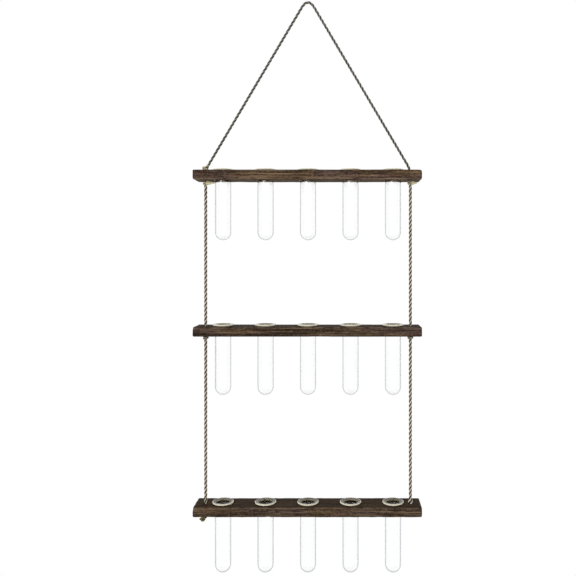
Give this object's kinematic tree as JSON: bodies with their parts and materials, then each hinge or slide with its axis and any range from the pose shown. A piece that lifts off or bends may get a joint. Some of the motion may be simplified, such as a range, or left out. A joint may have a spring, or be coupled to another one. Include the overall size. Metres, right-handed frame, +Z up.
{
  "type": "hanging propagation vase",
  "caption": "Hanging propagation vase: wooden bars slung one under another on a jute rope, each holding a row of flanged glass test tubes.",
  "frame": {"origin": "the inside of the sling rope's bend, where a wall hook carries the vase", "axes": "+Z up; +X along the bars, to the right as seen from the front; +Y to the back, towards the wall"},
  "size_m": [0.35, 0.045, 0.8873],
  "materials": {
    "stained_wood": "dark stain, matte",
    "clear_glass": "clear, polished",
    "jute_rope": "twisted jute, matte",
    "jute_knot": "twisted jute, matte"
  },
  "bodies": {
    "top_tier": {"top_bar": "stained_wood", "sling_rope": "jute_rope", "top_left_upper_knot": "jute_knot", "top_left_knot": "jute_knot", "top_right_knot": "jute_knot"},
    "middle_tier": {"middle_bar": "stained_wood", "middle_left_rope": "jute_rope", "middle_right_rope": "jute_rope", "middle_left_knot": "jute_knot", "middle_right_knot": "jute_knot"},
    "bottom_tier": {"bottom_bar": "stained_wood", "bottom_left_rope": "jute_rope", "bottom_right_rope": "jute_rope", "bottom_left_knot": "jute_knot", "bottom_right_knot": "jute_knot"},
    "top_tube_1": {"top_tube_1": "clear_glass"},
    "top_tube_2": {"top_tube_2": "clear_glass"},
    "top_tube_3": {"top_tube_3": "clear_glass"},
    "top_tube_4": {"top_tube_4": "clear_glass"},
    "top_tube_5": {"top_tube_5": "clear_glass"},
    "middle_tube_1": {"middle_tube_1": "clear_glass"},
    "middle_tube_2": {"middle_tube_2": "clear_glass"},
    "middle_tube_3": {"middle_tube_3": "clear_glass"},
    "middle_tube_4": {"middle_tube_4": "clear_glass"},
    "middle_tube_5": {"middle_tube_5": "clear_glass"},
    "bottom_tube_1": {"bottom_tube_1": "clear_glass"},
    "bottom_tube_2": {"bottom_tube_2": "clear_glass"},
    "bottom_tube_3": {"bottom_tube_3": "clear_glass"},
    "bottom_tube_4": {"bottom_tube_4": "clear_glass"},
    "bottom_tube_5": {"bottom_tube_5": "clear_glass"}
  },
  "joints": [
    {"name": "middle_tier_swing", "type": "hinge", "parent": "top_tier", "child": "middle_tier", "pos_m": [0, 0, -0.28259], "axis": [1, 0, 0], "range_deg": [-20, 20]},
    {"name": "bottom_tier_swing", "type": "hinge", "parent": "middle_tier", "child": "bottom_tier", "pos_m": [0, 0, -0.52259], "axis": [1, 0, 0], "range_deg": [-20, 20]},
    {"name": "top_tube_1_lift", "type": "slide", "parent": "top_tier", "child": "top_tube_1", "axis": [0, 0, 1], "range_m": [0, 0.011]},
    {"name": "top_tube_2_lift", "type": "slide", "parent": "top_tier", "child": "top_tube_2", "axis": [0, 0, 1], "range_m": [0, 0.112]},
    {"name": "top_tube_3_lift", "type": "slide", "parent": "top_tier", "child": "top_tube_3", "axis": [0, 0, 1], "range_m": [0, 0.112]},
    {"name": "top_tube_4_lift", "type": "slide", "parent": "top_tier", "child": "top_tube_4", "axis": [0, 0, 1], "range_m": [0, 0.112]},
    {"name": "top_tube_5_lift", "type": "slide", "parent": "top_tier", "child": "top_tube_5", "axis": [0, 0, 1], "range_m": [0, 0.011]},
    {"name": "middle_tube_1_lift", "type": "slide", "parent": "middle_tier", "child": "middle_tube_1", "axis": [0, 0, 1], "range_m": [0, 0.112]},
    {"name": "middle_tube_2_lift", "type": "slide", "parent": "middle_tier", "child": "middle_tube_2", "axis": [0, 0, 1], "range_m": [0, 0.112]},
    {"name": "middle_tube_3_lift", "type": "slide", "parent": "middle_tier", "child": "middle_tube_3", "axis": [0, 0, 1], "range_m": [0, 0.112]},
    {"name": "middle_tube_4_lift", "type": "slide", "parent": "middle_tier", "child": "middle_tube_4", "axis": [0, 0, 1], "range_m": [0, 0.112]},
    {"name": "middle_tube_5_lift", "type": "slide", "parent": "middle_tier", "child": "middle_tube_5", "axis": [0, 0, 1], "range_m": [0, 0.112]},
    {"name": "bottom_tube_1_lift", "type": "slide", "parent": "bottom_tier", "child": "bottom_tube_1", "axis": [0, 0, 1], "range_m": [0, 0.112]},
    {"name": "bottom_tube_2_lift", "type": "slide", "parent": "bottom_tier", "child": "bottom_tube_2", "axis": [0, 0, 1], "range_m": [0, 0.112]},
    {"name": "bottom_tube_3_lift", "type": "slide", "parent": "bottom_tier", "child": "bottom_tube_3", "axis": [0, 0, 1], "range_m": [0, 0.112]},
    {"name": "bottom_tube_4_lift", "type": "slide", "parent": "bottom_tier", "child": "bottom_tube_4", "axis": [0, 0, 1], "range_m": [0, 0.112]},
    {"name": "bottom_tube_5_lift", "type": "slide", "parent": "bottom_tier", "child": "bottom_tube_5", "axis": [0, 0, 1], "range_m": [0, 0.112]}
  ]
}
